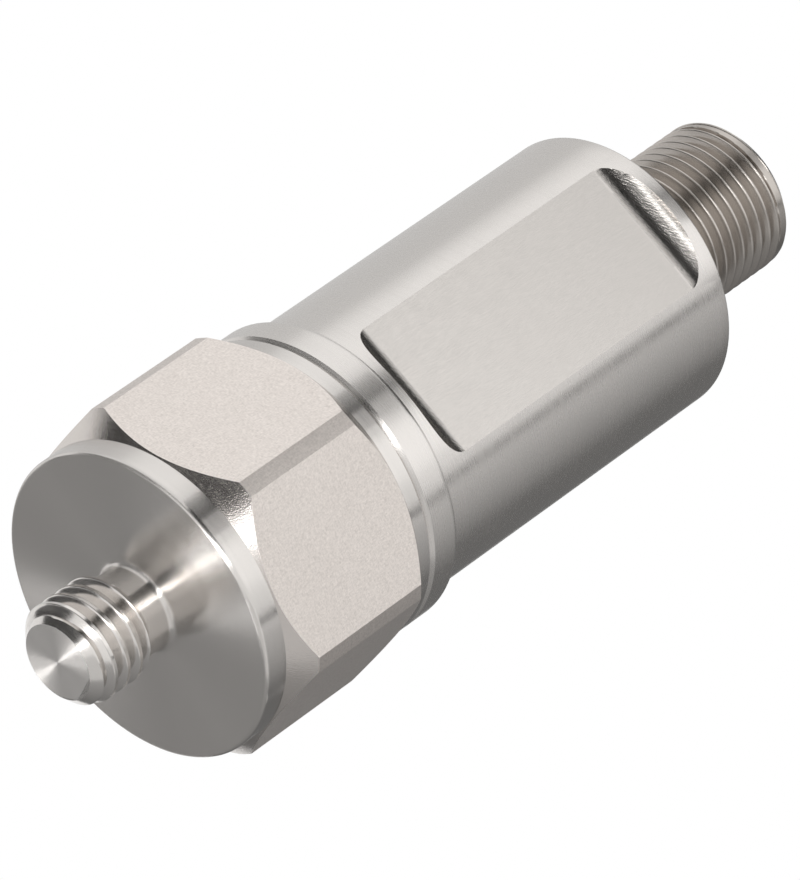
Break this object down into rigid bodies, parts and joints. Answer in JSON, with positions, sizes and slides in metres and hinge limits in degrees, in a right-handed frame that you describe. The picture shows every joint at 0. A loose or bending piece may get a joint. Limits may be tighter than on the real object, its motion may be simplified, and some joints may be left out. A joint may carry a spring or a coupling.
{
  "type": "vibration sensor",
  "caption": "Stainless steel vibration sensor with a threaded mounting stud, hexagon base, round body with a label flat and a threaded plug connector.",
  "frame": {"origin": "centre of the seat face, where the flange meets the machine", "axes": "+Z along the sensor's axis from the seat face towards the connector; the label flat faces -Y"},
  "size_m": [0.0244, 0.027, 0.0723],
  "materials": {
    "base_steel": "turned and milled stainless steel",
    "housing_steel": "turned and milled stainless steel, satin",
    "connector_steel": "turned stainless steel",
    "seal_rubber": "moulded nitrile rubber",
    "carrier_plastic": "moulded polyamide",
    "contact_gold": "gold-plated brass",
    "board_laminate": "glass-fibre laminate with solder mask",
    "bond_resin": "cured epoxy resin",
    "chip_mould": "moulded chip package",
    "crystal_can": "seam-welded metal can",
    "inductor_ferrite": "ferrite",
    "capacitor_ceramic": "ceramic with tinned ends",
    "liner_film": "insulating film tube"
  },
  "bodies": {
    "root": {"mounting_base": "base_steel", "housing_sleeve": "housing_steel", "connector_shell": "connector_steel", "base_seal": "seal_rubber", "shell_seal": "seal_rubber", "carrier_seal": "seal_rubber", "contact_carrier": "carrier_plastic", "contact_pin_1": "contact_gold", "contact_pin_2": "contact_gold", "contact_pin_3": "contact_gold", "contact_pin_4": "contact_gold", "contact_board": "board_laminate", "main_board": "board_laminate", "sensor_board": "board_laminate", "sensor_bond": "bond_resin", "accelerometer": "chip_mould", "microcontroller": "chip_mould", "crystal": "crystal_can", "line_driver": "chip_mould", "voltage_regulator": "chip_mould", "power_inductor": "inductor_ferrite", "filter_capacitors": "capacitor_ceramic", "surge_suppressor": "chip_mould", "board_liner": "liner_film"}
  },
  "joints": []
}
